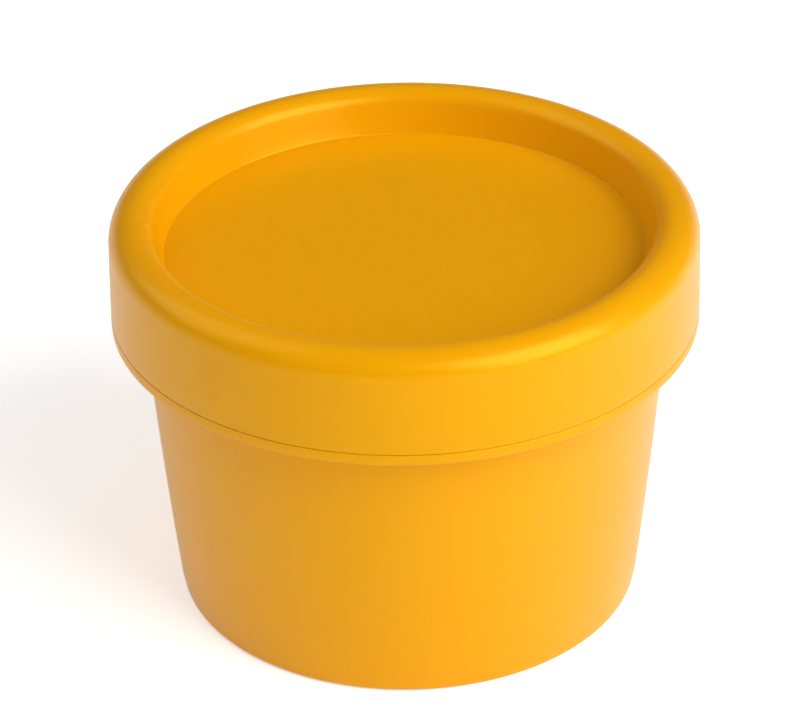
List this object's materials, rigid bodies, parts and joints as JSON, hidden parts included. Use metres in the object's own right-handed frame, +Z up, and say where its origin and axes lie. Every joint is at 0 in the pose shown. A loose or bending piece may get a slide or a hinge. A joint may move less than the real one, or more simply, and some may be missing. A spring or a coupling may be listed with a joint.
{
  "type": "cosmetic jar",
  "caption": "Tapered round plastic cream jar with a collar, a screw lid with a half-round rim and recessed panel, and a dished sealing disc inside.",
  "frame": {"origin": "centre of the foot ring, on the surface the jar stands on", "axes": "+Z up along the jar's axis; +X and +Y across it, with the start of the neck's thread at +X"},
  "size_m": [0.07, 0.07, 0.0497],
  "materials": {
    "jar_plastic": "satin moulded polypropylene, warm orange-yellow",
    "lid_plastic": "satin moulded polypropylene, warm orange-yellow",
    "disc_plastic": "milky natural polyethylene"
  },
  "bodies": {
    "jar": {"jar_body": "jar_plastic"},
    "disc": {"sealing_disc": "disc_plastic"},
    "lid": {"screw_lid": "lid_plastic"}
  },
  "joints": [
    {"name": "lid_turn", "type": "hinge", "parent": "jar", "child": "disc", "pos_m": [0, 0, 0.0462], "axis": [0, 0, 1], "range_deg": [0, 900]},
    {"name": "lid_rise", "type": "slide", "parent": "disc", "child": "lid", "axis": [0, 0, 1], "range_m": [0, 0.01]}
  ],
  "couplings": [
    {"joint": "lid_rise", "follows": "lid_turn", "m_per_rad": 0.00063662}
  ]
}
